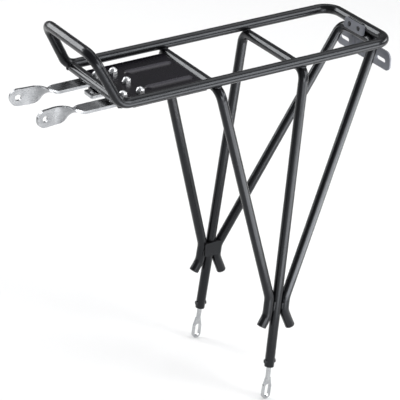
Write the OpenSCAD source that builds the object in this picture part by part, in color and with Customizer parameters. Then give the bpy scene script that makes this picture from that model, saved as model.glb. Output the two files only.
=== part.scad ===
// Rear rack of a bicycle: a welded tube frame with a pressed deck plate and sliding front stays.
// Millimetres. +X points to the front of the bicycle, +Y to its left and +Z up.
// The origin is midway between the two foot slots, on the axis of the bolts at their upper ends.

/* [Tube] */
// Outer diameter of the frame tube
tube_d = 10; // [8:0.5:12]
// Wall of the frame tube at its open ends
tube_wall = 1.2; // [0.8:0.1:1.6]
// Depth of the saddle where one welded piece seats on another
seat_depth = 0.3; // [0.2:0.05:0.4]

/* [Main loop] */
// Height of the rails' centre line above the foot bolts
deck_h = 344; // [320:1:370]
// Distance between the centre lines of the rails
rail_span = 107; // [100:1:120]
// Distance of the rear bar behind the foot bolts
rear_reach = 149; // [135:1:170]
// Distance of the hoop's foot ahead of the foot bolts
front_reach = 154; // [150:1:170]
// Bend radius of the two rear corners
corner_bend_r = 17; // [13:0.5:22]
// Height of the hoop above the rails
hoop_rise = 51; // [40:1:70]
// Forward lean of the hoop from foot to top
hoop_lean = 24.5; // [10:0.5:35]
// Distance between the hoop's legs at the top
hoop_top_span = 94; // [85:1:105]
// Bend radius where the rails turn up into the hoop
hoop_foot_bend_r = 15; // [12:0.5:18]
// Bend radius of the hoop's top corners
hoop_top_bend_r = 14; // [10:0.5:18]
// Diameter of the vent hole under each rail
vent_d = 3; // [2:0.5:4]
// Place of the vent holes ahead of the foot bolts
vent_x = 15; // [0:1:30]

/* [Leg bows] */
// Place of the front bow's crossbar ahead of the foot bolts
front_bow_x = 49; // [40:1:60]
// Place of the middle bow's crossbar behind the foot bolts
middle_bow_back = 46.5; // [38:0.5:60]
// Bend radius where a bow turns down into its legs
bow_bend_r = 12; // [10:0.5:15]
// Distance of the legs outside the rails, at the rails' height
leg_outset = 1.9; // [0:0.1:4]
// Distance between the middle planes of the two foot eyes
foot_span = 141; // [132:1:150]
// Height at which the middle legs end above the foot bolts
leg_end_h = 22.5; // [18:0.5:28]

/* [Rear bow] */
// Distance between the rear legs at their top corners
rear_leg_span = 58; // [50:1:70]
// Distance of the rear bow's crossbar ahead of the rear bar
rear_bow_ahead = 1.5; // [0:0.1:4]

/* [Leg junction] */
// Height at which the front leg comes alongside the middle leg
front_join_h = 101; // [94:1:112]
// Height at which the rear leg comes alongside the middle leg
rear_join_h = 96; // [92:1:108]
// Height below which the front and rear legs flare away
part_h = 82; // [76:1:85]
// Distance of the front leg's end ahead of the middle leg
front_flare = 15.1; // [13.5:0.1:22]
// Distance of the rear leg's end behind the middle leg
rear_flare = 19.2; // [14:0.1:24]
// Height of the front leg's end above the foot bolts
front_end_h = 71.4; // [64:0.1:72]
// Height of the rear leg's end above the foot bolts
rear_end_h = 63.5; // [55:0.5:68]
// Bend radius of the legs at the junction
leg_bend_r = 18; // [14:0.5:22]
// Width of a gusset
gusset_w = 19; // [16:0.5:24]
// Height of a gusset
gusset_h = 16; // [13:0.5:20]
// Thickness of a gusset
gusset_t = 2; // [1.5:0.1:3]
// Corner radius of a gusset
gusset_corner_r = 2; // [1:0.25:4]
// Height of a gusset's middle above the foot bolts
gusset_mid_h = 95.5; // [92:0.5:102]
// Length of the plug that shows beyond a cut leg end
plug_head_l = 1; // [0.8:0.1:3]
// Length of the plug inside the tube
plug_stem_l = 6; // [4:0.5:8]

/* [Foot eyes] */
// Width of a foot eye
eye_w = 9.5; // [9:0.5:14]
// Thickness of a foot eye
eye_t = 3; // [2.5:0.1:4]
// Width of the slot in a foot eye
eye_slot_w = 5.5; // [5:0.1:6.5]
// Length of the slot in a foot eye, end to end
eye_slot_l = 14.4; // [11:0.1:17]
// Metal between the slot and the lower end of the eye
eye_end_wall = 2.5; // [2.2:0.1:4]
// Diameter of the round neck above the eye
eye_neck_d = 4.8; // [4:0.1:6]
// Length of the tang inside the leg
eye_tang_l = 14; // [11:0.5:18]
// Diameter of the rivet through leg and tang
rivet_d = 3; // [2.5:0.1:3.5]
// Diameter of the rivet's heads
rivet_head_d = 5; // [4.5:0.1:6.5]
// Height of the rivet's heads beyond the tube
rivet_head_h = 0.8; // [0.6:0.1:1.6]
// Distance of the rivet above the end of the leg
rivet_up = 5.5; // [5:0.1:8]

/* [Deck plate] */
// Thickness of the deck plate
plate_t = 1.5; // [1:0.1:2]
// Height of the deck plate's middle above the front bow's centre line
plate_lift = 1; // [0:0.1:2]
// Gap between the deck plate and each rail
plate_side_gap = 1.5; // [0.5:0.1:4]
// Reach of the deck plate ahead of the front crossbar's centre line
plate_front_lap = 0.5; // [0:0.1:2]
// Reach of the middle tongue ahead of the front crossbar's centre line
tongue_reach = 4.6; // [4:0.2:7]
// Width of the middle tongue
tongue_w = 17; // [12:0.5:20]
// Depth of the side flanges below the plate
flange_h = 2.4; // [2.2:0.1:6]
// Inner bend radius of the side flanges
flange_bend_r = 1; // [0.8:0.1:2]
// Distance of the flanges' rear ends ahead of the front bow's centre line
flange_rear_gap = 9; // [8:0.5:14]
// Distance of the flanges' front ends behind the plate's front edge
flange_front_gap = 14; // [8:0.5:20]
// Distance of each pressed rib from the middle
rib_y = 20.5; // [18:0.5:26]
// Width of a pressed rib
rib_w = 11; // [8:0.5:12]
// Height of a pressed rib
rib_h = 1.8; // [1.2:0.1:2.4]
// Distance of the ribs' rear ends ahead of the front bow
rib_rear_gap = 14; // [10:0.5:20]
// Distance of the ribs' front ends behind the rear bolts
rib_front_gap = 14; // [12:0.5:20]

/* [Front crossbar] */
// Distance of the front crossbar ahead of the hoop's foot
front_bar_ahead = -3.6; // [-6:0.2:0]
// Distance of the front crossbar's ends from the rails' centre lines
front_bar_inset = 4; // [3:0.1:4.6]

/* [Stays] */
// Width of a stay's strip
stay_w = 17; // [15:0.5:18]
// Thickness of a stay's strip
stay_t = 3; // [2:0.1:4]
// Distance of each stay from the middle
stay_y = 26.7; // [24:0.1:30]
// Travel of a stay each way from its middle position
stay_travel = 12; // [6:0.5:14]
// Metal behind a stay's slot
stay_end_wall = 6; // [4:0.5:10]
// Distance of the twist's start ahead of the front crossbar
twist_ahead = 28.6; // [24:0.2:34]
// Length of the quarter twist
twist_l = 28; // [24:0.5:36]
// Distance of the tab's bend line ahead of the twist
tab_bend_ahead = 2; // [1.5:0.5:10]
// Distance from the bend line to the tab's hole
tab_reach = 10.5; // [9:0.5:16]
// Diameter of the tab's hole
tab_hole_d = 6.2; // [5:0.1:7]
// Outward turn of the tab, in degrees
tab_flare = 8; // [2:1:15]

/* [Bridge tab] */
// Width of the bridge tab
bridge_w = 17; // [14:0.5:20]
// Reach of the bridge tab ahead of the front crossbar's centre line
bridge_reach = 9.9; // [9.5:0.1:14]
// Distance of the bridge tab's hole behind its front end
bridge_hole_back = 5.2; // [5:0.1:6]
// Diameter of the bridge tab's hole
bridge_hole_d = 6; // [5:0.1:6.5]
// Corner radius of the bridge tab's front end
bridge_corner_r = 2.5; // [1:0.25:4]
// Travel of the bridge tab each way
bridge_travel = 8; // [4:0.5:8]

/* [Fasteners] */
// Diameter of the bolts
bolt_d = 5; // [4:0.5:6]
// Clearance of a bolt in a hole or slot, on each side
bolt_clear = 0.3; // [0.2:0.05:0.5]
// Distance of the front row of bolts behind the front crossbar
bolt_back = 13.4; // [12.8:0.2:18]
// Distance between the two rows of bolts
bolt_pitch = 18.5; // [16:0.5:22]
// Clearance between a sliding strip and what clamps it
slide_clear = 0.3; // [0.2:0.05:0.5]
// Outer diameter of the washers
washer_d = 11; // [10:0.5:13]
// Thickness of the washers
washer_t = 1; // [0.8:0.1:1.5]
// Diameter of the bolt heads
head_d = 9.5; // [8.5:0.1:10.5]
// Height of the bolt heads
head_h = 3; // [2:0.1:4]
// Width across flats of the socket in the bolt heads
socket_af = 4; // [3:0.5:5]
// Depth of the socket in the bolt heads
socket_l = 1.8; // [1:0.1:2]
// Width across flats of the cap nuts
nut_af = 8; // [7:0.5:10]
// How far the top face of a cap nut's hexagon reaches past its flats
nut_flat = 0.2; // [0.1:0.1:0.6]
// Height of the hexagon of the cap nuts
nut_hex_h = 2.8; // [2.5:0.1:5]
// Height of the whole cap nut
nut_h = 5.8; // [5:0.1:9]

/* [Reflector bracket] */
// Width over the bracket's two ears
bracket_w = 95; // [88:1:105]
// Height of the bracket's lower plate
bracket_h = 20.6; // [19:0.2:28]
// Distance of the ears' upper edge below the rails' centre line
bracket_drop = 17; // [14:0.5:20]
// Thickness of the bracket
bracket_t = 1.5; // [1:0.1:2]
// Width of the neck between the ears and the rear bar
bracket_neck_w = 50; // [44:1:54]
// Corner radius of the ears
ear_corner_r = 7.5; // [3:0.5:9]
// Distance between the middles of the two slots
ear_slot_span = 64; // [60:1:70]
// Length of an ear's slot, end to end
ear_slot_l = 15; // [10:0.5:18]
// Width of an ear's slot
ear_slot_w = 4.6; // [4.2:0.1:5.5]
// Distance of the slots below the ears' upper edge
ear_slot_drop = 11.5; // [9:0.5:13]
// Distance between the pressed ribs
bracket_rib_pitch = 9; // [7.5:0.5:10]
// Width of a pressed rib
bracket_rib_w = 5; // [4:0.5:6]
// Height of a pressed rib
bracket_rib_h = 1.2; // [0.8:0.1:1.6]
// Length of a pressed rib
bracket_rib_l = 10; // [8:0.5:13]

/* [Rear lug] */
// Width of the rear lug
lug_w = 33; // [26:0.5:38]
// Height of the rear lug
lug_h = 10.8; // [10.4:0.2:14]
// Thickness of the rear lug
lug_t = 2; // [1.5:0.1:3]
// Diameter of the plug-weld holes in the rear lug
lug_hole_d = 5.5; // [4:0.1:6.5]
// Distance between the plug-weld holes
lug_hole_span = 15.4; // [12:0.2:18]

/* [Hidden] */
$fn = 48;

paint = "#1b1b1e";
plate_paint = "#242026";
zinc = "#c8cbd0";
plug_black = "#101012";

tube_r = tube_d / 2;
tube_bore_d = tube_d - 2 * tube_wall;
rail_y = rail_span / 2;
foot_y = foot_span / 2;

// Distance a cutting tool runs past a face, or one piece runs into another
past = 1;

// A bend is fuller than its straight runs by this much, and each run enters it by this length
bend_swell = 0.02;
run_in = 0.5;

// The legs of one side lie in a plane that leans in from the foot to the rail
leg_deck_y = rail_y + leg_outset;
leg_lean = atan((foot_y - leg_deck_y) / deck_h);

// A bow's bend nests under the rail: its drop follows from the two radii and their offset
bow_side = bow_bend_r * tan((90 - leg_lean) / 2);
bow_offset = rail_y - leg_deck_y + bow_side;
bow_drop = sqrt(pow(bow_bend_r + tube_d - seat_depth, 2) - pow(bow_offset, 2)) - bow_bend_r;
bow_z = deck_h - bow_drop;

// The rear bow lies under the rear bar, a little ahead of it
rear_bow_x = rear_bow_ahead - rear_reach;
rear_bow_drop = sqrt(pow(tube_d - seat_depth, 2) - pow(rear_bow_ahead, 2));
rear_bow_z = deck_h - rear_bow_drop;

// Front crossbar, and what is placed along the rack from it
front_bar_x = front_reach + front_bar_ahead;
bolt_front_x = front_bar_x - bolt_back;
twist_start_x = front_bar_x + twist_ahead;
tab_bend_x = twist_start_x + twist_l + tab_bend_ahead;

// Deck plate, strips and fasteners, stacked from the front bow
plate_z = bow_z + plate_lift;
plate_top = plate_z + plate_t / 2;
plate_bottom = plate_z - plate_t / 2;
plate_half_w = rail_y - tube_r - plate_side_gap;
plate_front_x = front_bar_x + plate_front_lap;
front_bar_z = plate_top + tube_r - seat_depth;
stay_z = plate_bottom - slide_clear - stay_t / 2;
washer_top = stay_z - stay_t / 2 - slide_clear;
head_top = washer_top - washer_t;
bolt_rear_x = bolt_front_x - bolt_pitch;
bolt_xs = [bolt_rear_x, bolt_front_x];
bolt_hole_d = bolt_d + 2 * bolt_clear;

// Reflector bracket behind the rear bar
bracket_front_x = -rear_reach - tube_r + seat_depth;
ear_top = deck_h - bracket_drop;
ear_slot_z = ear_top - ear_slot_drop;
bracket_rib_count = 5;

// Vector helpers
function unit(v) = v / norm(v);
function turn(u, v) = acos(max(-1, min(1, u * v)));
function side_step(u) = abs(u[2]) < 0.9 ? unit(cross(u, [0, 0, 1])) : unit(cross(u, [0, 1, 0]));
function mirrored(pts) = [for (i = [len(pts) - 1:-1:0]) [pts[i][0], -pts[i][1], pts[i][2]]];

// Path helpers: a path is a list of corner points with a bend radius at each
function leave(pts, i) = unit(pts[(i + 1) % len(pts)] - pts[i]);
function arrive(pts, i) = unit(pts[i] - pts[(i + len(pts) - 1) % len(pts)]);
function is_end(pts, i, closed) = !closed && (i == 0 || i == len(pts) - 1);
function trim(pts, radii, i, closed) =
    is_end(pts, i, closed) ? 0 : radii[i] * tan(turn(arrive(pts, i), leave(pts, i)) / 2);

// Point on the leaning plane of the left legs, at x and at height z
function leg_pt(x, z) = [x, foot_y - z * tan(leg_lean), z];

// Middle leg's x at height z, and the x of a leg that lies alongside it
middle_slope = -middle_bow_back / bow_z;
function middle_x(z) = middle_slope * z;
alongside = (tube_d - seat_depth) * sqrt(1 + pow(middle_slope, 2));

// Corner points of the tubes, the left half first where a bow is symmetric
main_pts = [
    [-rear_reach, -rail_y, deck_h],
    [-rear_reach, rail_y, deck_h],
    [front_reach, rail_y, deck_h],
    [front_reach + hoop_lean, hoop_top_span / 2, deck_h + hoop_rise],
    [front_reach + hoop_lean, -hoop_top_span / 2, deck_h + hoop_rise],
    [front_reach, -rail_y, deck_h]
];
main_radii = [
    corner_bend_r, corner_bend_r, hoop_foot_bend_r, hoop_top_bend_r, hoop_top_bend_r, hoop_foot_bend_r
];
front_leg_pts = [
    leg_pt(middle_x(front_end_h) + front_flare, front_end_h),
    leg_pt(middle_x(part_h) + alongside, part_h),
    leg_pt(middle_x(front_join_h) + alongside, front_join_h),
    leg_pt(front_bow_x, bow_z)
];
rear_leg_pts = [
    leg_pt(middle_x(rear_end_h) - rear_flare, rear_end_h),
    leg_pt(middle_x(part_h) - alongside, part_h),
    leg_pt(middle_x(rear_join_h) - alongside, rear_join_h),
    [rear_bow_x, rear_leg_span / 2, rear_bow_z]
];
middle_leg_pts = [leg_pt(middle_x(leg_end_h), leg_end_h), leg_pt(-middle_bow_back, bow_z)];
middle_axis = unit(middle_leg_pts[0] - middle_leg_pts[1]);
leg_radii = [0, leg_bend_r, leg_bend_r, bow_bend_r];

// Puts the children in a frame with origin o and axes x and y
module in_frame(o, x, y) {
    z = cross(x, y);
    multmatrix([
        [x[0], y[0], z[0], o[0]],
        [x[1], y[1], z[1], o[1]],
        [x[2], y[2], z[2], o[2]],
        [0, 0, 0, 1]
    ])
        children();
}

// Puts the children with their Z axis from a towards b
module along(a, b) {
    u = unit(b - a);
    x = side_step(u);
    in_frame(a, x, cross(u, x))
        children();
}

// Repeats the children on the right side as well
module both_sides() {
    children();
    mirror([0, 1, 0])
        children();
}

// A solid rod along a path of corner points: each straight run enters the slightly fuller bends
module straight_rod(a, b, d) {
    along(a, b)
        cylinder(d = d, h = norm(b - a));
}

module bent_corner(p, u, v, r, d) {
    angle = turn(u, v);
    inward = unit(v - (u * v) * u);
    centre = p - r * tan(angle / 2) * u + r * inward;
    in_frame(centre, -inward, u)
        rotate_extrude(angle = angle)
            translate([r, 0])
                circle(d = d + 2 * bend_swell);
}

module bent_rod(pts, radii, d, closed = false) {
    n = len(pts);
    for (i = [0:closed ? n - 1 : n - 2]) {
        j = (i + 1) % n;
        u = leave(pts, i);
        from = is_end(pts, i, closed) ? 0 : trim(pts, radii, i, closed) - run_in;
        to = is_end(pts, j, closed) ? 0 : trim(pts, radii, j, closed) - run_in;
        straight_rod(pts[i] + u * from, pts[j] - u * to, d);
    }
    for (i = [0:n - 1])
        if (!is_end(pts, i, closed))
            bent_corner(pts[i], arrive(pts, i), leave(pts, i), radii[i], d);
}

// A bow from its left leg's points: down on one side, across and down on the other, bored through
function bow_pts(leg) = concat(leg, mirrored(leg));
function bow_radii(radii) = concat(radii, [for (i = [len(radii) - 1:-1:0]) radii[i]]);
function run_on(leg) = [for (i = [0:len(leg) - 1]) i == 0 ? leg[0] - leave(leg, 0) * past : leg[i]];

module bow(leg, radii) {
    difference() {
        bent_rod(bow_pts(leg), bow_radii(radii), tube_d);
        bent_rod(bow_pts(run_on(leg)), bow_radii(radii), tube_bore_d);
    }
}

// Solid rods in the place of the tubes, for cutting saddles
module rail_rods() {
    both_sides()
        translate([-rear_reach, rail_y, deck_h])
            rotate([0, 90, 0])
                cylinder(d = tube_d, h = rear_reach + front_reach);
}

module rear_bar_rod() {
    translate([-rear_reach, 0, deck_h])
        rotate([90, 0, 0])
            cylinder(d = tube_d, h = rail_span, center = true);
}

module cross_rod(x, z, length) {
    translate([x, 0, z])
        rotate([90, 0, 0])
            cylinder(d = tube_d, h = length, center = true);
}

module middle_leg_rods() {
    both_sides()
        straight_rod(middle_leg_pts[0], leg_pt(middle_x(deck_h / 2), deck_h / 2), tube_d);
}

// Frame tubes
module main_loop() {
    color(paint)
        difference() {
            bent_rod(main_pts, main_radii, tube_d, closed = true);
            bent_rod(main_pts, main_radii, tube_bore_d, closed = true);
            both_sides()
                translate([vent_x, rail_y, deck_h - tube_d])
                    cylinder(d = vent_d, h = tube_d);
        }
}

module front_crossbar() {
    color(paint)
        difference() {
            translate([front_bar_x, 0, front_bar_z])
                rotate([90, 0, 0])
                    difference() {
                        cylinder(d = tube_d, h = rail_span - 2 * front_bar_inset, center = true);
                        cylinder(d = tube_bore_d, h = rail_span, center = true);
                    }
            bent_rod(main_pts, main_radii, tube_d, closed = true);
            deck_plate_blank();
        }
}

module front_leg_bow() {
    color(paint)
        difference() {
            bow(front_leg_pts, leg_radii);
            rail_rods();
            middle_leg_rods();
        }
}

module middle_leg_bow() {
    color(paint)
        difference() {
            bow(middle_leg_pts, [0, bow_bend_r]);
            rail_rods();
            both_sides()
                rivet_shank(bolt_clear);
        }
}

module rear_leg_bow() {
    color(paint)
        difference() {
            bow(rear_leg_pts, leg_radii);
            rear_bar_rod();
            middle_leg_rods();
        }
}

// Junction gussets, on the inboard side of the three legs
module rounded_rect(w, h, r) {
    square([w - 2 * r, h], center = true);
    square([w, h - 2 * r], center = true);
    for (x = [-1, 1], y = [-1, 1])
        translate([x * (w / 2 - r), y * (h / 2 - r)])
            circle(r);
}

module leg_gusset() {
    mid = leg_pt(middle_x(gusset_mid_h), gusset_mid_h);
    difference() {
        translate(mid)
            rotate([leg_lean, 0, 0])
                translate([0, seat_depth - tube_r, 0])
                    rotate([90, 0, 0])
                        linear_extrude(gusset_t + seat_depth)
                            rounded_rect(gusset_w, gusset_h, gusset_corner_r);
        middle_leg_rods();
        bent_rod(front_leg_pts, leg_radii, tube_d);
        bent_rod(rear_leg_pts, leg_radii, tube_d);
    }
}

module left_leg_gusset() {
    color(paint)
        leg_gusset();
}

module right_leg_gusset() {
    color(paint)
        mirror([0, 1, 0])
            leg_gusset();
}

// Plugs in the cut ends of the front and rear legs
module end_plug(leg) {
    u = leave(leg, 0);
    plug_end = leg[0] - u * plug_head_l;
    stem_start = leg[0] - u * plug_head_l / 2;
    along(stem_start, leg[1])
        cylinder(d = tube_bore_d, h = plug_stem_l + plug_head_l / 2);
    along(plug_end, leg[0])
        cylinder(d = tube_d, h = plug_head_l);
}

module leg_end_plugs() {
    color(plug_black)
        both_sides() {
            end_plug(front_leg_pts);
            end_plug(rear_leg_pts);
        }
}

// Foot eyes: the slot's upper end is centred on the foot bolt's axis
eye_slot_reach = eye_slot_l - eye_slot_w;
eye_r = eye_w / 2;
eye_low = eye_slot_reach + eye_slot_w / 2 + eye_end_wall - eye_r;
eye_high = eye_slot_w / 2;
eye_neck_at = eye_high + eye_r + eye_neck_d / 2;
eye_tilt = atan(middle_slope);

module eye_outline() {
    translate([0, -eye_low])
        circle(eye_r);
    translate([-eye_r, -eye_low])
        square([eye_w, eye_low]);
    circle(eye_r);
    polygon([
        [-eye_r, 0], [eye_r, 0],
        [eye_neck_d / 2, eye_neck_at], [-eye_neck_d / 2, eye_neck_at]
    ]);
}

module eye_slot() {
    circle(d = eye_slot_w);
    translate([-eye_slot_w / 2, -eye_slot_reach])
        square([eye_slot_w, eye_slot_reach]);
    translate([0, -eye_slot_reach])
        circle(d = eye_slot_w);
}

module foot_eye() {
    foot = [0, foot_y, 0];
    leg_end = leg_pt(middle_x(leg_end_h), leg_end_h);
    neck_low = foot - middle_axis * eye_neck_at * 0.75;
    difference() {
        union() {
            translate(foot)
                rotate([0, eye_tilt, 0])
                    rotate([90, 0, 0])
                        linear_extrude(eye_t, center = true)
                            eye_outline();
            along(neck_low, leg_end)
                cylinder(d = eye_neck_d, h = norm(leg_end - neck_low) + past);
            along(leg_end, leg_end - middle_axis)
                cylinder(d = tube_bore_d, h = eye_tang_l);
        }
        translate(foot)
            rotate([0, eye_tilt, 0])
                rotate([90, 0, 0])
                    linear_extrude(eye_t + 2 * past, center = true)
                        eye_slot();
        rivet_shank(bolt_clear);
    }
}

module left_foot_eye() {
    color(zinc)
        foot_eye();
}

module right_foot_eye() {
    color(zinc)
        mirror([0, 1, 0])
            foot_eye();
}

// Rivets through the leg ends, fore and aft
rivet_at = leg_pt(middle_x(leg_end_h), leg_end_h) - middle_axis * rivet_up;
rivet_half = tube_r + rivet_head_h;

module rivet_shank(clear) {
    translate(rivet_at)
        rotate([0, 90 + eye_tilt, 0])
            cylinder(d = rivet_d + 2 * clear, h = 2 * rivet_half, center = true);
}

module foot_rivet() {
    translate(rivet_at)
        rotate([0, 90 + eye_tilt, 0])
            cylinder(d = rivet_d, h = 2 * rivet_half - rivet_head_h, center = true);
    difference() {
        translate(rivet_at)
            rotate([0, 90 + eye_tilt, 0])
                cylinder(d = rivet_head_d, h = 2 * rivet_half, center = true);
        straight_rod(middle_leg_pts[0], middle_leg_pts[0] - middle_axis * tube_d * 2, tube_d);
    }
}

module left_foot_rivet() {
    color(paint)
        foot_rivet();
}

module right_foot_rivet() {
    color(paint)
        mirror([0, 1, 0])
            foot_rivet();
}

// Deck plate: a sheet with flanges turned down at the sides, a front tongue and two pressed ribs
function bead_r(w, h) = (w * w / 4 + h * h) / (2 * h);
rib_r = bead_r(rib_w, rib_h);
rib_x0 = front_bow_x + rib_rear_gap;
rib_x1 = bolt_rear_x - rib_front_gap;
flange_out_r = flange_bend_r + plate_t;

module corner_ring(inner, outer) {
    intersection() {
        difference() {
            circle(outer);
            circle(inner);
        }
        square(outer);
    }
}

module flange_section() {
    translate([plate_half_w - flange_out_r, plate_t / 2 - flange_out_r]) {
        corner_ring(flange_bend_r, flange_out_r);
        translate([flange_bend_r, flange_bend_r - flange_h])
            square([plate_t, flange_h - flange_bend_r]);
    }
}

module rib_bead(r) {
    for (y = [-rib_y, rib_y])
        translate([rib_x0, y, plate_top + rib_h - rib_r]) {
            rotate([0, 90, 0])
                cylinder(r = r, h = rib_x1 - rib_x0);
            for (x = [0, rib_x1 - rib_x0])
                translate([x, 0, 0])
                    sphere(r);
        }
}

module deck_plate_blank() {
    flat_w = 2 * (plate_half_w - flange_out_r);
    translate([front_bow_x, -flat_w / 2, plate_bottom])
        cube([plate_front_x - front_bow_x, flat_w, plate_t]);
    translate([front_bow_x, -tongue_w / 2, plate_bottom])
        cube([front_bar_x + tongue_reach - front_bow_x, tongue_w, plate_t]);
    both_sides()
        translate([front_bow_x + flange_rear_gap, 0, plate_z])
            rotate([90, 0, 90])
                linear_extrude(plate_front_x - front_bow_x - flange_rear_gap - flange_front_gap)
                    flange_section();
}

module deck_plate() {
    color(plate_paint)
        difference() {
            union() {
                deck_plate_blank();
                intersection() {
                    rib_bead(rib_r);
                    translate([rib_x0 - rib_w, -rail_y, plate_bottom])
                        cube([rib_x1 - rib_x0 + 2 * rib_w, rail_span, plate_t + 2 * rib_h]);
                }
            }
            rib_bead(rib_r - plate_t);
            cross_rod(front_bow_x, bow_z, rail_span);
            for (x = bolt_xs, y = [-stay_y, 0, stay_y])
                translate([x, y, plate_bottom - past])
                    cylinder(d = bolt_hole_d, h = plate_t + 2 * past);
        }
}

// Stays: a slotted strip, a quarter twist the same way on both sides, and a drilled tab turned outwards
module long_slot(x0, x1, w) {
    for (x = [x0, x1])
        translate([x, 0])
            circle(d = w);
    translate([x0, -w / 2])
        square([x1 - x0, w]);
}

// Share of a twist that is done at share u of its length: slow at both ends
function ease(u) = u * u * (3 - 2 * u);

// Strip along X whose section turns from flat by the given angle, and runs a little into both neighbours
module twisted_strip(x0, x1, w, t, angle) {
    steps = 24;
    across = 4;
    stations = concat(
        [[x0 - past, 0]],
        [for (i = [0:steps]) [x0 + (x1 - x0) * i / steps, angle * ease(i / steps)]],
        [[x1 + past, angle]]
    );
    section = concat(
        [for (i = [0:across]) [w / 2 - w * i / across, t / 2]],
        [for (i = [0:across]) [w * i / across - w / 2, -t / 2]]
    );
    n = len(section);
    last = n * (len(stations) - 1);
    quads = [
        for (i = [0:n:last - n], k = [0:n - 1])
            [i + k, i + n + k, i + n + (k + 1) % n, i + (k + 1) % n]
    ];
    ends = [for (i = [0:across - 1]) [i, i + 1, n - 2 - i, n - 1 - i]];
    polyhedron(
        points = [
            for (s = stations, c = section)
                [s[0], c[0] * cos(s[1]) - c[1] * sin(s[1]), c[0] * sin(s[1]) + c[1] * cos(s[1])]
        ],
        faces = concat(
            [for (q = ends) [q[0], q[1], q[2]]],
            [for (q = ends) [q[0], q[2], q[3]]],
            [for (q = quads) angle > 0 ? [q[0], q[1], q[2]] : [q[0], q[1], q[3]]],
            [for (q = quads) angle > 0 ? [q[0], q[2], q[3]] : [q[1], q[2], q[3]]],
            [for (q = ends) [last + q[3], last + q[2], last + q[1]]],
            [for (q = ends) [last + q[3], last + q[1], last + q[0]]]
        )
    );
}

module stay(twist) {
    slot_x0 = bolt_rear_x - stay_travel;
    slot_x1 = bolt_front_x + stay_travel;
    strip_x0 = slot_x0 - bolt_hole_d / 2 - stay_end_wall;
    twist_end_x = twist_start_x + twist_l;
    translate([0, stay_y, stay_z]) {
        translate([0, 0, -stay_t / 2])
            linear_extrude(stay_t)
                difference() {
                    translate([strip_x0, -stay_w / 2])
                        square([twist_start_x - strip_x0, stay_w]);
                    long_slot(slot_x0, slot_x1, bolt_hole_d);
                }
        twisted_strip(twist_start_x, twist_end_x, stay_w, stay_t, -twist);
        translate([twist_end_x, -stay_t / 2, -stay_w / 2])
            cube([tab_bend_x - twist_end_x, stay_t, stay_w]);
        translate([tab_bend_x, 0, 0])
            rotate([0, 0, tab_flare])
                stay_tab();
    }
}

module stay_tab() {
    cylinder(d = stay_t, h = stay_w, center = true);
    rotate([90, 0, 0])
        linear_extrude(stay_t, center = true)
            difference() {
                union() {
                    translate([0, -stay_w / 2])
                        square([tab_reach, stay_w]);
                    translate([tab_reach, 0])
                        circle(d = stay_w);
                }
                translate([tab_reach, 0])
                    circle(d = tab_hole_d);
            }
}

module left_stay() {
    color(zinc)
        stay(twist = -90);
}

module right_stay() {
    color(zinc)
        mirror([0, 1, 0])
            stay(twist = 90);
}

// Bridge tab: a short slotted strip with a hole near its front end
module bridge_tab() {
    slot_x0 = bolt_rear_x - bridge_travel;
    slot_x1 = bolt_front_x + bridge_travel;
    strip_x0 = slot_x0 - bolt_hole_d / 2 - stay_end_wall;
    front_x = front_bar_x + bridge_reach;
    color(zinc)
        translate([0, 0, stay_z - stay_t / 2])
            linear_extrude(stay_t)
                difference() {
                    translate([(strip_x0 + front_x) / 2, 0])
                        rounded_rect(front_x - strip_x0, bridge_w, bridge_corner_r);
                    long_slot(slot_x0, slot_x1, bolt_hole_d);
                    translate([front_x - bridge_hole_back, 0])
                        circle(d = bridge_hole_d);
                }
}

// Bolts from below, with a washer under the strip and a cap nut on the plate
module bolt_row(y) {
    for (x = bolt_xs)
        translate([x, y, 0])
            children();
}

module bolt() {
    difference() {
        translate([0, 0, head_top - head_h])
            cylinder(d1 = head_d - head_h, d2 = head_d, h = head_h);
        translate([0, 0, head_top - head_h - past])
            cylinder(d = socket_af / cos(30), h = socket_l + past, $fn = 6);
    }
    translate([0, 0, head_top - past])
        cylinder(d = bolt_d, h = plate_top + nut_hex_h - head_top + past);
}

module washer() {
    translate([0, 0, head_top])
        difference() {
            cylinder(d = washer_d, h = washer_t);
            translate([0, 0, -past])
                cylinder(d = bolt_hole_d, h = washer_t + 2 * past);
        }
}

module cap_nut() {
    dome_r = bead_r(nut_af, nut_h - nut_hex_h);
    difference() {
        union() {
            intersection() {
                translate([0, 0, plate_top])
                    cylinder(d = nut_af / cos(30), h = nut_hex_h, $fn = 6);
                translate([0, 0, plate_top])
                    cylinder(d1 = nut_af + 2 * nut_hex_h, d2 = nut_af + nut_flat, h = nut_hex_h);
            }
            intersection() {
                translate([0, 0, plate_top + nut_h - dome_r])
                    sphere(dome_r);
                translate([0, 0, plate_top + nut_hex_h - past])
                    cylinder(d = nut_af, h = nut_h);
            }
        }
        translate([0, 0, plate_top - past])
            cylinder(d = bolt_d, h = nut_hex_h + past);
    }
}

module left_stay_bolts() {
    color(zinc)
        bolt_row(stay_y)
            bolt();
}

module right_stay_bolts() {
    color(zinc)
        bolt_row(-stay_y)
            bolt();
}

module bridge_tab_bolts() {
    color(zinc)
        bolt_row(0)
            bolt();
}

module left_stay_washers() {
    color(zinc)
        bolt_row(stay_y)
            washer();
}

module right_stay_washers() {
    color(zinc)
        bolt_row(-stay_y)
            washer();
}

module bridge_tab_washers() {
    color(zinc)
        bolt_row(0)
            washer();
}

module left_stay_cap_nuts() {
    color(zinc)
        bolt_row(stay_y)
            cap_nut();
}

module right_stay_cap_nuts() {
    color(zinc)
        bolt_row(-stay_y)
            cap_nut();
}

module bridge_tab_cap_nuts() {
    color(zinc)
        bolt_row(0)
            cap_nut();
}

// Reflector bracket: a sheet on the back of the rear bar, with slotted ears and pressed ribs
bracket_rib_r = bead_r(bracket_rib_w, bracket_rib_h);
bracket_rib_z = ear_top - bracket_h / 2;

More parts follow.
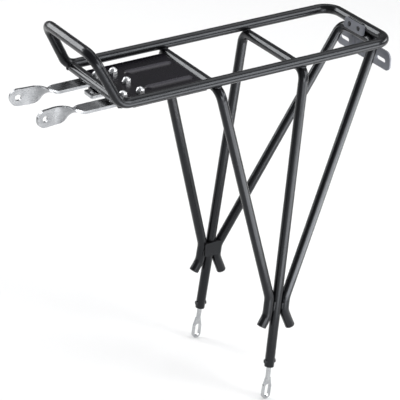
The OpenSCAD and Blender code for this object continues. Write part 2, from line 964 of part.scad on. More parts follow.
module bracket_outline() {
    translate([0, ear_top - bracket_h / 2])
        rounded_rect(bracket_w, bracket_h, ear_corner_r);
    translate([-bracket_neck_w / 2, ear_top - bracket_h / 2])
        square([bracket_neck_w, deck_h - ear_top + bracket_h / 2]);
}

module bracket_beads(r) {
    for (i = [0:bracket_rib_count - 1])
        translate([
            bracket_front_x + bracket_rib_h - bracket_rib_r,
            (i - (bracket_rib_count - 1) / 2) * bracket_rib_pitch,
            bracket_rib_z
        ]) {
            cylinder(r = r, h = bracket_rib_l, center = true);
            for (s = [-1, 1])
                translate([0, 0, s * bracket_rib_l / 2])
                    sphere(r);
        }
}

module reflector_bracket() {
    back_x = bracket_front_x - bracket_t;
    color(plate_paint)
        difference() {
            union() {
                translate([back_x, 0, 0])
                    rotate([90, 0, 90])
                        linear_extrude(bracket_t)
                            bracket_outline();
                intersection() {
                    bracket_beads(bracket_rib_r);
                    translate([back_x, -bracket_neck_w / 2, ear_top - bracket_h])
                        cube([bracket_t + 2 * bracket_rib_h, bracket_neck_w, bracket_h]);
                }
            }
            bracket_beads(bracket_rib_r - bracket_t);
            rear_bar_rod();
            translate([back_x - past, 0, ear_slot_z])
                rotate([90, 0, 90])
                    linear_extrude(bracket_t + 2 * past)
                        for (s = [-1, 1])
                            translate([s * ear_slot_span / 2, 0])
                                long_slot(
                                    (ear_slot_w - ear_slot_l) / 2, (ear_slot_l - ear_slot_w) / 2, ear_slot_w
                                );
        }
}

// Rear lug: a small plate welded across the fronts of the rear bar and the rear bow
lug_tilt = atan2(rear_bow_ahead, rear_bow_drop);

module rear_lug() {
    color(paint)
        difference() {
            translate([-rear_reach, 0, deck_h])
                rotate([0, -lug_tilt, 0])
                    translate([tube_r - seat_depth, 0, (tube_r - lug_h) / 2])
                        rotate([90, 0, 90])
                            linear_extrude(lug_t + seat_depth)
                                difference() {
                                    rounded_rect(lug_w, lug_h, tube_r / 2);
                                    for (s = [-1, 1])
                                        translate([s * lug_hole_span / 2, 0])
                                            circle(d = lug_hole_d);
                                }
            rear_bar_rod();
            cross_rod(rear_bow_x, rear_bow_z, rail_span);
        }
}

main_loop();
front_crossbar();
front_leg_bow();
middle_leg_bow();
rear_leg_bow();
left_leg_gusset();
right_leg_gusset();
leg_end_plugs();
left_foot_eye();
right_foot_eye();
left_foot_rivet();
right_foot_rivet();
deck_plate();
left_stay();
right_stay();
bridge_tab();
left_stay_bolts();
right_stay_bolts();
bridge_tab_bolts();
left_stay_washers();
right_stay_washers();
bridge_tab_washers();
left_stay_cap_nuts();
right_stay_cap_nuts();
bridge_tab_cap_nuts();
reflector_bracket();
rear_lug();
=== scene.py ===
"""Looks of the rear rack: paint, plating, weld seams, studio light and the photo's camera."""

import math

import bpy
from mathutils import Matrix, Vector


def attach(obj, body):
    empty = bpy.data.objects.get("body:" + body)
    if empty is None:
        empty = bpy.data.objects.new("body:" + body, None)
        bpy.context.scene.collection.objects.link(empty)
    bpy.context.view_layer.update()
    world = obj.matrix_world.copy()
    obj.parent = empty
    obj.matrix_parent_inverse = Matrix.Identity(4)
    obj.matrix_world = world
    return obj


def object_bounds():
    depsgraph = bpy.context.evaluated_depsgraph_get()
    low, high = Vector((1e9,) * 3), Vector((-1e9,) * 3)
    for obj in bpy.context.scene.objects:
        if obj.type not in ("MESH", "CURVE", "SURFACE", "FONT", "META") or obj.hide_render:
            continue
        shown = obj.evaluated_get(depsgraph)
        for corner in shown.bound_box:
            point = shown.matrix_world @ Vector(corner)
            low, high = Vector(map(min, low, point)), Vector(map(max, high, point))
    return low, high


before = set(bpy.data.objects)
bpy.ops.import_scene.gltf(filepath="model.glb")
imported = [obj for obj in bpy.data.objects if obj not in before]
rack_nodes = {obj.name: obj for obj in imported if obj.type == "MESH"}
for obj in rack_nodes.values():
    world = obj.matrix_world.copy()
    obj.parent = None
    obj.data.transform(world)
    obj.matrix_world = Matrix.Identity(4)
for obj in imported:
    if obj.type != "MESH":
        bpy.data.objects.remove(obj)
cad_low, cad_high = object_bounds()

scene = bpy.context.scene
scene.view_settings.view_transform = "Standard"

# Places on the rack, in metres, as the solids have them
TUBE_R = 0.005
REAR_BAR = Vector((-0.149, 0.0, 0.344))
REAR_BOW = Vector((-0.1475, 0.0, 0.33442))
FRONT_BAR = Vector((0.1504, 0.0, 0.34298))
FRONT_BOW_X = 0.049
MIDDLE_BOW_X = -0.0465
BOW_TOP_Z = 0.33653
FOOT_Y = 0.0705
LEG_LEAN = math.radians(2.5134)
LEG_PITCH = 0.0098
GUSSET_EDGE = 0.0100

# Seats of the front and middle bows on the rails, and the share of inward and down in their facing
BOW_SEAT_Y = 0.05129
BOW_SEAT_Z = 0.33951
BOW_SEAT_IN = 0.442
BOW_SEAT_DOWN = 0.898

# Nodes that share a finish
STRIPS = ("left_stay", "right_stay", "bridge_tab")
PLATED = (
    "left_foot_eye", "right_foot_eye",
    "left_stay_bolts", "right_stay_bolts", "bridge_tab_bolts",
    "left_stay_washers", "right_stay_washers", "bridge_tab_washers",
)
CAP_NUTS = ("left_stay_cap_nuts", "right_stay_cap_nuts", "bridge_tab_cap_nuts")


def aim(thing, target):
    """Turns a lamp or the camera so that it looks at the target."""
    away = Vector(target) - thing.location
    thing.rotation_euler = away.to_track_quat("-Z", "Y").to_euler()


# Camera at the photo's viewing angle
CAMERA_TARGET = Vector((0.03774, 0.0, 0.19233))
CAMERA_AZIMUTH = math.radians(149.5)
CAMERA_RISE = math.radians(26.98)
CAMERA_DISTANCE = 2.00005
PHOTO_FOCAL_PIXELS = 2001.1
PHOTO_WIDTH = 400
SENSOR_WIDTH = 36


def place_camera():
    """Stands the camera where the photo was taken from."""
    back = Vector((
        math.sin(CAMERA_AZIMUTH) * math.cos(CAMERA_RISE),
        -math.cos(CAMERA_AZIMUTH) * math.cos(CAMERA_RISE),
        math.sin(CAMERA_RISE),
    ))
    bpy.ops.object.camera_add(location=CAMERA_TARGET + back * CAMERA_DISTANCE)
    camera = bpy.context.object
    camera.name = "photo_camera"
    camera.data.sensor_fit = "HORIZONTAL"
    camera.data.sensor_width = SENSOR_WIDTH
    camera.data.lens = SENSOR_WIDTH * PHOTO_FOCAL_PIXELS / PHOTO_WIDTH
    camera.data.clip_start = 0.05
    camera.data.clip_end = 50
    aim(camera, CAMERA_TARGET)
    scene.camera = camera


# Studio, in metres: where the lamps aim, how high a tray lies, the floor and the sky
RACK_MIDDLE = (0.03, 0.0, 0.26)
TRAY_HEIGHT = 0.002
FLOOR_SIZE = 60
FLOOR_GAP = 0.0005
FLOOR_COLOUR = (0.84, 0.84, 0.84, 1.0)
SKY_COLOUR = (0.97, 0.98, 1.0, 1.0)
SKY_STRENGTH = 0.27


def softbox(name, place, width, height, power, roll=0.0, target=RACK_MIDDLE):
    """A soft white studio lamp, hung at a place and aimed at the rack or at another target."""
    bpy.ops.object.light_add(type="AREA", location=place)
    lamp = bpy.context.object
    lamp.name = name
    lamp.data.shape = "RECTANGLE"
    lamp.data.size = width
    lamp.data.size_y = height
    lamp.data.energy = power
    lamp.visible_camera = False
    aim(lamp, target)
    lamp.rotation_euler.rotate_axis("Z", math.radians(roll))
    return lamp


def floor_tray(name, x, y, width, height, power):
    """A softbox that lies on the floor and faces straight up."""
    overhead = (x, y, 1.0)
    return softbox(name, (x, y, TRAY_HEIGHT), width, height, power, target=overhead)


def flag_lamp(lamp, state, things):
    """Keeps a lamp's light off some things, or to them alone, as flags on stands do."""
    flagged = bpy.data.collections.new(lamp.name + "_flag")
    lamp.light_linking.receiver_collection = flagged
    for thing in things:
        flagged.objects.link(thing)
    for entry in flagged.collection_objects:
        entry.light_linking.link_state = state


def light_studio(floor):
    """Soft lamps round the rack, some of them flagged to a few pieces, and a plain pale world."""
    softbox("top_softbox", (-1.9, -0.9, 4.1), width=5.0, height=2.0, power=62)
    softbox("front_softbox", (0.80, -1.40, 1.05), width=0.5, height=1.6, power=23.5, roll=38)
    softbox("side_softbox", (-0.88, 1.38, 1.05), width=0.64, height=1.2, power=19, roll=-15)
    softbox("rear_softbox", (-0.88, 0.22, 0.50), width=0.56, height=0.2, power=2.8)
    softbox("leg_softbox", (0.12, 1.15, 0.30), width=0.9, height=0.42, power=9.5)
    low = floor_tray("low_softbox", x=-0.40, y=0.60, width=1.0, height=0.60, power=11)
    flag_lamp(low, "EXCLUDE", [rack_nodes[name] for name in STRIPS])
    rear_legs = [rack_nodes["rear_leg_bow"]]
    panel = softbox("rear_leg_panel", (-0.45, 1.10, 0.13), width=1.6, height=0.36, power=14.5)
    flag_lamp(panel, "INCLUDE", rear_legs)
    tray = floor_tray("rear_leg_tray", x=-0.65, y=0.66, width=0.8, height=0.9, power=18)
    flag_lamp(tray, "INCLUDE", rear_legs)
    far_floor = (-0.65, -0.65, 0.0)
    wash = softbox(
        "floor_wash", (-1.15, -1.05, 0.9), width=1.2, height=0.6, power=2.4, target=far_floor
    )
    flag_lamp(wash, "INCLUDE", [floor])
    world = bpy.data.worlds.new("pale_studio")
    world.use_nodes = True
    scene.world = world
    sky = world.node_tree.nodes["Background"]
    sky.inputs["Color"].default_value = SKY_COLOUR
    sky.inputs["Strength"].default_value = SKY_STRENGTH


def lay_floor():
    """A white floor under the rack's feet, which keeps its soft shadow."""
    under_feet = (0.0, 0.0, cad_low.z - FLOOR_GAP)
    bpy.ops.mesh.primitive_plane_add(size=FLOOR_SIZE, location=under_feet)
    floor = bpy.context.object
    floor.name = "studio_floor"
    pale = bpy.data.materials.new("white_floor")
    pale.use_nodes = True
    shader = pale.node_tree.nodes["Principled BSDF"]
    shader.inputs["Base Color"].default_value = FLOOR_COLOUR
    shader.inputs["Roughness"].default_value = 1.0
    shader.inputs["Specular IOR Level"].default_value = 0.0
    floor.data.materials.append(pale)
    return floor


def new_group(name, inputs, outputs):
    """An empty shader group: inputs have a name, a kind and a start value, outputs the first two."""
    group = bpy.data.node_groups.new(name, "ShaderNodeTree")
    for label, kind, start in inputs:
        made = group.interface.new_socket(label, in_out="INPUT", socket_type=kind)
        if start is not None:
            made.default_value = start
    for label, kind in outputs:
        group.interface.new_socket(label, in_out="OUTPUT", socket_type=kind)
    start = group.nodes.new("NodeGroupInput")
    end = group.nodes.new("NodeGroupOutput")
    return group, start, end


def build_mottle():
    """Slow cloudy change of a value, as the thickness of paint or plating varies."""
    group, start, end = new_group(
        "cloudy_mottle",
        [
            ("Vector", "NodeSocketVector", None),
            ("Scale", "NodeSocketFloat", 60.0),
            ("Low", "NodeSocketFloat", 0.0),
            ("High", "NodeSocketFloat", 1.0),
        ],
        [("Value", "NodeSocketFloat")],
    )
    cloud = group.nodes.new("ShaderNodeTexNoise")
    cloud.inputs["Detail"].default_value = 4.0
    cloud.inputs["Roughness"].default_value = 0.6
    spread = group.nodes.new("ShaderNodeMapRange")
    spread.inputs["From Min"].default_value = 0.3
    spread.inputs["From Max"].default_value = 0.7
    group.links.new(start.outputs["Vector"], cloud.inputs["Vector"])
    group.links.new(start.outputs["Scale"], cloud.inputs["Scale"])
    group.links.new(cloud.outputs["Fac"], spread.inputs["Value"])
    group.links.new(start.outputs["Low"], spread.inputs["To Min"])
    group.links.new(start.outputs["High"], spread.inputs["To Max"])
    group.links.new(spread.outputs["Result"], end.inputs["Value"])
    return group


def build_edge_wear():
    """Mask of the sharp edges, broken up, where paint thins and plating shines."""
    group, start, end = new_group(
        "edge_wear",
        [
            ("Vector", "NodeSocketVector", None),
            ("Radius", "NodeSocketFloat", 0.0006),
            ("Scale", "NodeSocketFloat", 300.0),
            ("Amount", "NodeSocketFloat", 1.0),
        ],
        [("Mask", "NodeSocketFloat")],
    )
    rounded = group.nodes.new("ShaderNodeBevel")
    rounded.samples = 6
    shape = group.nodes.new("ShaderNodeNewGeometry")
    meet = group.nodes.new("ShaderNodeVectorMath")
    meet.operation = "DOT_PRODUCT"
    sharp = group.nodes.new("ShaderNodeMapRange")
    sharp.inputs["From Min"].default_value = 0.995
    sharp.inputs["From Max"].default_value = 0.80
    specks = group.nodes.new("ShaderNodeTexNoise")
    specks.inputs["Detail"].default_value = 5.0
    broken = group.nodes.new("ShaderNodeMapRange")
    broken.inputs["From Min"].default_value = 0.40
    broken.inputs["From Max"].default_value = 0.62
    both = group.nodes.new("ShaderNodeMath")
    both.operation = "MULTIPLY"
    scaled = group.nodes.new("ShaderNodeMath")
    scaled.operation = "MULTIPLY"
    scaled.use_clamp = True
    group.links.new(start.outputs["Radius"], rounded.inputs["Radius"])
    group.links.new(rounded.outputs["Normal"], meet.inputs[0])
    group.links.new(shape.outputs["Normal"], meet.inputs[1])
    group.links.new(meet.outputs["Value"], sharp.inputs["Value"])
    group.links.new(start.outputs["Vector"], specks.inputs["Vector"])
    group.links.new(start.outputs["Scale"], specks.inputs["Scale"])
    group.links.new(specks.outputs["Fac"], broken.inputs["Value"])
    group.links.new(sharp.outputs["Result"], both.inputs[0])
    group.links.new(broken.outputs["Result"], both.inputs[1])
    group.links.new(both.outputs[0], scaled.inputs[0])
    group.links.new(start.outputs["Amount"], scaled.inputs[1])
    group.links.new(scaled.outputs[0], end.inputs["Mask"])
    return group


mottle_group = build_mottle()
edge_group = build_edge_wear()

# Sockets of a Mix node that hold its factor, its two colours and the colour it gives
MIX_FACTOR = 0
MIX_FIRST = 6
MIX_SECOND = 7
MIX_RESULT = 2


class Finish:
    """A material under construction: its tree, its shader and its object coordinates."""

    def __init__(self, name):
        self.material = bpy.data.materials.new(name)
        self.material.use_nodes = True
        self.tree = self.material.node_tree
        self.shader = self.tree.nodes["Principled BSDF"]
        self.place = self.tree.nodes.new("ShaderNodeTexCoord").outputs["Object"]

    def link(self, source, target):
        """Joins an output socket to an input socket."""
        self.tree.links.new(source, target)

    def feed(self, label, source):
        """Joins an output socket to one of the shader's inputs."""
        self.link(source, self.shader.inputs[label])

    def stretched(self, x, y, z):
        """Object coordinates stretched along an axis, for drawn and rolled grain."""
        mapping = self.tree.nodes.new("ShaderNodeMapping")
        mapping.inputs["Scale"].default_value = (x, y, z)
        self.link(self.place, mapping.inputs["Vector"])
        return mapping.outputs["Vector"]

    def mottle(self, scale, low, high, vector=None):
        """A cloudy value between low and high."""
        node = self.tree.nodes.new("ShaderNodeGroup")
        node.node_tree = mottle_group
        node.inputs["Scale"].default_value = scale
        node.inputs["Low"].default_value = low
        node.inputs["High"].default_value = high
        self.link(vector or self.place, node.inputs["Vector"])
        return node.outputs["Value"]

    def edges(self, radius, scale, amount):
        """A mask of worn edges."""
        node = self.tree.nodes.new("ShaderNodeGroup")
        node.node_tree = edge_group
        node.inputs["Radius"].default_value = radius
        node.inputs["Scale"].default_value = scale
        node.inputs["Amount"].default_value = amount
        self.link(self.place, node.inputs["Vector"])
        return node.outputs["Mask"]

    def height(self, low, high):
        """A mask that rises from 0 to 1 between two heights above the foot bolts."""
        axes = self.tree.nodes.new("ShaderNodeSeparateXYZ")
        self.link(self.place, axes.inputs["Vector"])
        ramp = self.tree.nodes.new("ShaderNodeMapRange")
        ramp.interpolation_type = "SMOOTHSTEP"
        ramp.inputs["From Min"].default_value = low
        ramp.inputs["From Max"].default_value = high
        self.link(axes.outputs["Z"], ramp.inputs["Value"])
        return ramp.outputs["Result"]

    def two_colours(self, mask, first, second):
        """A colour that goes from first to second as the mask rises."""
        mix = self.tree.nodes.new("ShaderNodeMix")
        mix.data_type = "RGBA"
        for index, colour in ((MIX_FIRST, first), (MIX_SECOND, second)):
            socket = mix.inputs[index]
            if isinstance(colour, tuple):
                socket.default_value = (*colour, 1.0)
            else:
                self.link(colour, socket)
        self.link(mask, mix.inputs[MIX_FACTOR])
        return mix.outputs[MIX_RESULT]

    def skin(self, scale, detail, strength, depth, vector=None):
        """Fine relief of the surface, fed to the shader as a bump."""
        grain = self.tree.nodes.new("ShaderNodeTexNoise")
        grain.inputs["Scale"].default_value = scale
        grain.inputs["Detail"].default_value = detail
        bump = self.tree.nodes.new("ShaderNodeBump")
        bump.inputs["Strength"].default_value = strength
        bump.inputs["Distance"].default_value = depth
        self.link(vector or self.place, grain.inputs["Vector"])
        self.link(grain.outputs["Fac"], bump.inputs["Height"])
        self.feed("Normal", bump.outputs["Normal"])


def gloss_black_enamel():
    """Baked black enamel on the tubes: glossy, with a little orange peel and thin worn edges."""
    finish = Finish("gloss_black_enamel")
    cloud = finish.mottle(scale=45.0, low=0.0, high=1.0)
    body = finish.two_colours(cloud, (0.0020, 0.0020, 0.0024), (0.0050, 0.0050, 0.0057))
    worn = finish.edges(radius=0.0005, scale=420.0, amount=0.35)
    finish.feed("Base Color", finish.two_colours(worn, body, (0.10, 0.10, 0.105)))
    finish.feed("Roughness", finish.mottle(scale=70.0, low=0.20, high=0.28))
    finish.shader.inputs["IOR"].default_value = 1.38
    finish.shader.inputs["Specular Tint"].default_value = (0.90, 0.94, 1.0, 1.0)
    finish.skin(scale=520.0, detail=2.0, strength=0.10, depth=0.0002)
    return finish.material


def satin_black_plate():
    """The deck plate's paint: a thin satin coat with a violet cast, and a painted highlight of paler
    grey on the ribs' tops.
    """
    finish = Finish("satin_black_plate")
    cloud = finish.mottle(scale=38.0, low=0.0, high=1.0)
    coat = finish.two_colours(cloud, (0.0016, 0.0010, 0.0028), (0.0052, 0.0036, 0.0078))
    crown = max(corner[2] for corner in rack_nodes["deck_plate"].bound_box)
    # Painted highlight: the ribs' tops get a paler grey, standing in for the light bands that the
    # ribs catch
    rubbed_and_highlight = finish.height(low=crown - 0.0017, high=crown - 0.0004)
    body = finish.two_colours(rubbed_and_highlight, coat, (0.050, 0.047, 0.057))
    worn = finish.edges(radius=0.0005, scale=420.0, amount=0.4)
    finish.feed("Base Color", finish.two_colours(worn, body, (0.12, 0.12, 0.125)))
    finish.feed("Roughness", finish.mottle(scale=60.0, low=0.23, high=0.31))
    finish.shader.inputs["IOR"].default_value = 1.27
    finish.skin(scale=500.0, detail=2.0, strength=0.05, depth=0.0001)
    return finish.material


def lit_grey_bracket_paint():
    """Paint of the reflector bracket and the rear lug: their dark paint given a paler, bluish grey
    satin colour as painted light.
    """
    finish = Finish("lit_grey_bracket_paint")
    cloud = finish.mottle(scale=55.0, low=0.0, high=1.0)
    # Painted light: these pale bluish greys make the dark paint look lit
    body = finish.two_colours(cloud, (0.104, 0.110, 0.128), (0.158, 0.166, 0.190))
    worn = finish.edges(radius=0.0005, scale=420.0, amount=0.4)
    finish.feed("Base Color", finish.two_colours(worn, body, (0.25, 0.26, 0.28)))
    finish.feed("Roughness", finish.mottle(scale=80.0, low=0.38, high=0.52))
    finish.shader.inputs["IOR"].default_value = 1.45
    finish.skin(scale=900.0, detail=3.0, strength=0.12, depth=0.0002)
    return finish.material


def zinc_plating(name, dull, clear, rubbed_and_highlight):
    """Zinc plating on strips, eyes and fasteners: faintly clouded, drawn along the strip."""
    finish = Finish(name)
    cloud = finish.mottle(scale=120.0, low=0.0, high=1.0)
    plating = finish.two_colours(cloud, dull, clear)
    worn = finish.edges(radius=0.0004, scale=500.0, amount=0.6)
    finish.feed("Base Color", finish.two_colours(worn, plating, rubbed_and_highlight))
    finish.shader.inputs["Metallic"].default_value = 1.0
    drawn = finish.stretched(x=0.12, y=1.0, z=1.0)
    finish.feed("Roughness", finish.mottle(scale=900.0, low=0.22, high=0.30, vector=drawn))
    finish.skin(scale=1400.0, detail=3.0, strength=0.08, depth=0.0001, vector=drawn)
    return finish.material


def polished_nut_plate():
    """Brighter plating of the domed cap nuts, polished by the forming dies."""
    finish = Finish("polished_nut_plate")
    cloud = finish.mottle(scale=260.0, low=0.0, high=1.0)
    plating = finish.two_colours(cloud, (0.68, 0.69, 0.71), (0.80, 0.81, 0.82))
    worn = finish.edges(radius=0.0003, scale=700.0, amount=0.5)
    finish.feed("Base Color", finish.two_colours(worn, plating, (0.88, 0.88, 0.89)))
    finish.shader.inputs["Metallic"].default_value = 1.0
    finish.feed("Roughness", finish.mottle(scale=420.0, low=0.32, high=0.42))
    finish.skin(scale=1600.0, detail=2.0, strength=0.06, depth=0.0001)
    return finish.material


def matt_plug_plastic():
    """Black moulded plastic of the end plugs."""
    finish = Finish("matt_plug_plastic")
    cloud = finish.mottle(scale=200.0, low=0.0, high=1.0)
    body = finish.two_colours(cloud, (0.010, 0.010, 0.011), (0.020, 0.020, 0.021))
    finish.feed("Base Color", body)
    finish.feed("Roughness", finish.mottle(scale=250.0, low=0.45, high=0.62))
    finish.skin(scale=1500.0, detail=2.0, strength=0.25, depth=0.0001)
    return finish.material


enamel = gloss_black_enamel()
plate_coat = satin_black_plate()
lit_bracket_coat = lit_grey_bracket_paint()
# Painted shade: the strips' zinc is darker than the eyes' zinc, to hold down the lamps' glare on the
# tabs
shaded_strip_zinc = zinc_plating(
    "shaded_strip_zinc",
    dull=(0.26, 0.267, 0.278),
    clear=(0.38, 0.388, 0.40),
    rubbed_and_highlight=(0.47, 0.475, 0.485),
)
bright_zinc = zinc_plating(
    "bright_zinc",
    dull=(0.40, 0.41, 0.425),
    clear=(0.54, 0.55, 0.56),
    rubbed_and_highlight=(0.62, 0.62, 0.63),
)
nut_plate = polished_nut_plate()
plug_plastic = matt_plug_plastic()


def coat_nodes():
    """Gives each CAD node its finish."""
    finishes = {name: shaded_strip_zinc for name in STRIPS}
    finishes.update({name: bright_zinc for name in PLATED})
    finishes.update({name: nut_plate for name in CAP_NUTS})
    finishes["deck_plate"] = plate_coat
    finishes["reflector_bracket"] = lit_bracket_coat
    finishes["rear_lug"] = lit_bracket_coat
    finishes["leg_end_plugs"] = plug_plastic
    for name, node in rack_nodes.items():
        node.data.materials.clear()
        node.data.materials.append(finishes.get(name, enamel))


# Weld beads: a drop's length in metres, and its swell and the end taper as shares of the radius
DROP_LENGTH = 0.0016
DROP_SWELL = 0.2
END_TAPER = 0.55
GROOVE_BEAD_R = 0.0014
EDGE_BEAD_R = 0.0009

# Steps of a plug weld's crown: how far each rises and how much it draws in
PLUG_CROWN = ((0.0004, 0.7), (0.0001, 0.35))

# How far the ends of an edge must differ in height for it to run lengthwise
LEVEL_TOLERANCE = 0.0001


def select_points(piece, chosen):
    """Selects the points of a piece whose place passes the test, and opens it for editing."""
    bpy.ops.object.mode_set(mode="EDIT")
    bpy.ops.mesh.select_mode(type="VERT")
    bpy.ops.mesh.select_all(action="DESELECT")
    bpy.ops.object.mode_set(mode="OBJECT")
    for point in piece.data.vertices:
        point.select = chosen(point.co)
    bpy.ops.object.mode_set(mode="EDIT")


def select_lengthwise_edges(piece):
    """Selects the edges that run along the piece's Z axis, and opens it for editing."""
    bpy.ops.object.mode_set(mode="EDIT")
    bpy.ops.mesh.select_mode(type="EDGE")
    bpy.ops.mesh.select_all(action="DESELECT")
    bpy.ops.object.mode_set(mode="OBJECT")
    points = piece.data.vertices
    for edge in piece.data.edges:
        first, second = (points[i].co for i in edge.vertices)
        edge.select = abs(first.z - second.z) > LEVEL_TOLERANCE
    bpy.ops.object.mode_set(mode="EDIT")


def soften(piece, levels):
    """Rounds a finished form by subdivision and shades it smooth."""
    bpy.ops.object.mode_set(mode="OBJECT")
    bpy.ops.object.modifier_add(type="SUBSURF")
    rounding = piece.modifiers[-1]
    rounding.levels = levels
    bpy.ops.object.modifier_apply(modifier=rounding.name)
    bpy.ops.object.shade_smooth()


def model_seam(length, bead_r):
    """A straight weld bead along Z, rippled by its drops and drawn in at both ends."""
    bpy.ops.object.select_all(action="DESELECT")
    bpy.ops.mesh.primitive_cylinder_add(vertices=10, radius=bead_r, depth=length)
    seam = bpy.context.object
    drops = 2 * round(length / DROP_LENGTH)
    step = length / drops
    select_lengthwise_edges(seam)
    bpy.ops.mesh.subdivide(number_cuts=drops - 1)
    select_points(seam, lambda p: round((p.z + length / 2) / step) % 2 == 1)
    bpy.ops.transform.shrink_fatten(value=DROP_SWELL * bead_r)
    select_points(seam, lambda p: abs(p.z) > length / 2 - step / 4)
    bpy.ops.transform.resize(value=(END_TAPER, END_TAPER, 1.0))
    soften(seam, 1)
    return seam


def model_ring(ring_r, bead_r, drops):
    """A weld bead laid in a ring round Z, rippled by its drops."""
    bpy.ops.object.select_all(action="DESELECT")
    bpy.ops.mesh.primitive_torus_add(
        major_segments=2 * drops, minor_segments=8, major_radius=ring_r, minor_radius=bead_r
    )
    ring = bpy.context.object
    step = math.pi / drops
    select_points(ring, lambda p: round(math.atan2(p.y, p.x) / step) % 2 == 1)
    bpy.ops.transform.shrink_fatten(value=DROP_SWELL * bead_r)
    soften(ring, 1)
    return ring


def model_plug_weld(hole_r, depth):
    """A filled weld hole: a short plug along Z with a low crown."""
    bpy.ops.object.select_all(action="DESELECT")
    bpy.ops.mesh.primitive_cylinder_add(vertices=20, radius=hole_r, depth=depth)
    plug = bpy.context.object
    select_points(plug, lambda p: p.z > 0)
    for rise, taper in PLUG_CROWN:
        bpy.ops.mesh.extrude_region_move(TRANSFORM_OT_translate={"value": (0.0, 0.0, rise)})
        bpy.ops.transform.resize(value=(taper, taper, 1.0))
    soften(plug, 1)
    return plug


def lay_welds(name, model, places):
    """Copies a modelled bead to each place, given as middle and direction, as one painted piece."""
    laid = []
    for middle, direction in places:
        bpy.ops.object.select_all(action="DESELECT")
        model.select_set(True)
        bpy.context.view_layer.objects.active = model
        bpy.ops.object.duplicate()
        bead = bpy.context.object
        bead.rotation_euler = Vector(direction).to_track_quat("Z", "Y").to_euler()
        bead.location = middle
        bpy.ops.object.transform_apply(location=True, rotation=True, scale=True)
        laid.append(bead)
    bpy.ops.object.select_all(action="DESELECT")
    model.select_set(True)
    bpy.ops.object.delete()
    for bead in laid:
        bead.select_set(True)
    bpy.context.view_layer.objects.active = laid[0]
    bpy.ops.object.join()
    welds = bpy.context.object
    welds.name = name
    welds.data.materials.append(enamel)
    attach(welds, "rack")
    return welds


def on_leg(height, along, outward, side):
    """Place by the middle leg at a height, set along the rack and outward from the legs' plane."""
    y = FOOT_Y - height * math.tan(LEG_LEAN) + outward * math.cos(LEG_LEAN)
    x = MIDDLE_BOW_X * height / BOW_TOP_Z + along
    return Vector((x, side * y, height + outward * math.sin(LEG_LEAN)))


def leg_seam_places(low, high, along, outward):
    """Middles and directions of a seam along the legs, on both sides of the rack."""
    places = []
    for side in (-1, 1):
        foot = on_leg(low, along, outward, side)
        top = on_leg(high, along, outward, side)
        places.append(((foot + top) / 2, top - foot))
    return places


def weld_legs():
    """Beads in the grooves between the three legs of a side, and along the gussets' edges."""
    groove = 0.0033
    half_pitch = LEG_PITCH / 2
    places = leg_seam_places(low=0.0862, high=0.0967, along=half_pitch, outward=groove)
    lay_welds("front_leg_welds", model_seam(length=0.0105, bead_r=GROOVE_BEAD_R), places)
    places = leg_seam_places(low=0.0858, high=0.0930, along=-half_pitch, outward=groove)
    lay_welds("rear_leg_welds", model_seam(length=0.0072, bead_r=GROOVE_BEAD_R), places)
    gusset_face = -TUBE_R - 0.0003
    places = leg_seam_places(low=0.0895, high=0.0965, along=GUSSET_EDGE, outward=gusset_face)
    lay_welds("gusset_front_welds", model_seam(length=0.0070, bead_r=EDGE_BEAD_R), places)
    places = leg_seam_places(low=0.0885, high=0.0933, along=-GUSSET_EDGE, outward=gusset_face)
    lay_welds("gusset_rear_welds", model_seam(length=0.0048, bead_r=EDGE_BEAD_R), places)


def weld_bows():
    """Rings of weld where the front and middle bows meet the rails from below."""
    places = []
    for x in (FRONT_BOW_X, MIDDLE_BOW_X):
        for side in (-1, 1):
            seat = Vector((x, side * BOW_SEAT_Y, BOW_SEAT_Z))
            places.append((seat, (0.0, -side * BOW_SEAT_IN, -BOW_SEAT_DOWN)))
    lay_welds("bow_rail_welds", model_ring(ring_r=0.0036, bead_r=0.0011, drops=14), places)


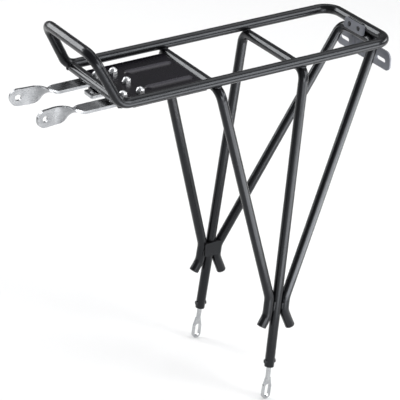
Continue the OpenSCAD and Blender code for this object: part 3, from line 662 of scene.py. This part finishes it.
def weld_front_bar():
    """Rings of weld at the ends of the front crossbar, bent to the rails that they lie on."""
    ring_r = 0.0051
    between_rails_y = 0.040
    rail_side_y = 0.0515
    lowest_ray = FRONT_BAR.z - 0.0026
    lowest_point = FRONT_BAR.z - 0.0030
    rail = rack_nodes["main_loop"]
    for side, name in ((1, "left_front_bar_weld"), (-1, "right_front_bar_weld")):
        ring = model_ring(ring_r, bead_r=0.0010, drops=18)
        weld = lay_welds(name, ring, [(FRONT_BAR, (0.0, 1.0, 0.0))])
        outward = Vector((0.0, side, 0.0))
        for point in weld.data.vertices:
            angle = math.atan2(point.co.z - FRONT_BAR.z, point.co.x - FRONT_BAR.x)
            start = FRONT_BAR + Vector((math.cos(angle), 0.0, math.sin(angle))) * ring_r
            start.y += side * between_rails_y
            start.z = max(start.z, lowest_ray)
            met, spot, _, _ = rail.ray_cast(start, outward)
            point.co.y += spot.y if met else side * rail_side_y
            point.co.z = max(point.co.z, lowest_point)


def weld_deck_plate():
    """Short beads under the plate's rear edge and behind the front crossbar."""
    across = (0.0, 1.0, 0.0)
    rear_x = FRONT_BOW_X + 0.0054
    rear_z = 0.3362
    rear = [(Vector((rear_x, y, rear_z)), across) for y in (-0.030, 0.0, 0.030)]
    lay_welds("plate_rear_welds", model_seam(length=0.0080, bead_r=EDGE_BEAD_R), rear)
    front_x = FRONT_BAR.x - 0.0034
    front_z = 0.33875
    front_y = (-0.041, -0.0135, 0.0135, 0.041)
    front = [(Vector((front_x, y, front_z)), across) for y in front_y]
    lay_welds("plate_front_welds", model_seam(length=0.0060, bead_r=0.0008), front)


def weld_rear_lug():
    """Beads along the lug's edges and in its two weld holes, and on the bracket's neck."""
    down = (REAR_BOW - REAR_BAR).normalized()
    ahead = Vector((-down.z, 0.0, down.x))
    across = Vector((0.0, 1.0, 0.0))

    def on_lug(forward, drop):
        """Place in front of the rear bar's axis, and below it along the lug."""
        return REAR_BAR + ahead * forward + down * drop

    top = on_lug(forward=0.0048, drop=-0.0029)
    foot = on_lug(forward=0.0053, drop=0.0088)
    seams = [(top, across), (foot, across)]
    lay_welds("lug_seams", model_seam(length=0.0260, bead_r=EDGE_BEAD_R), seams)
    middle = on_lug(forward=0.0054, drop=0.0029)
    holes = [(middle + across * y, ahead) for y in (-0.0077, 0.0077)]
    lay_welds("lug_plug_welds", model_plug_weld(hole_r=0.0027, depth=0.0024), holes)
    neck_x = -0.15432
    neck_z = 0.34455
    neck = [(Vector((neck_x, y, neck_z)), across) for y in (-0.017, 0.017)]
    lay_welds("bracket_neck_welds", model_seam(length=0.0120, bead_r=0.0007), neck)


coat_nodes()
weld_legs()
weld_bows()
weld_front_bar()
weld_deck_plate()
weld_rear_lug()
place_camera()
light_studio(lay_floor())
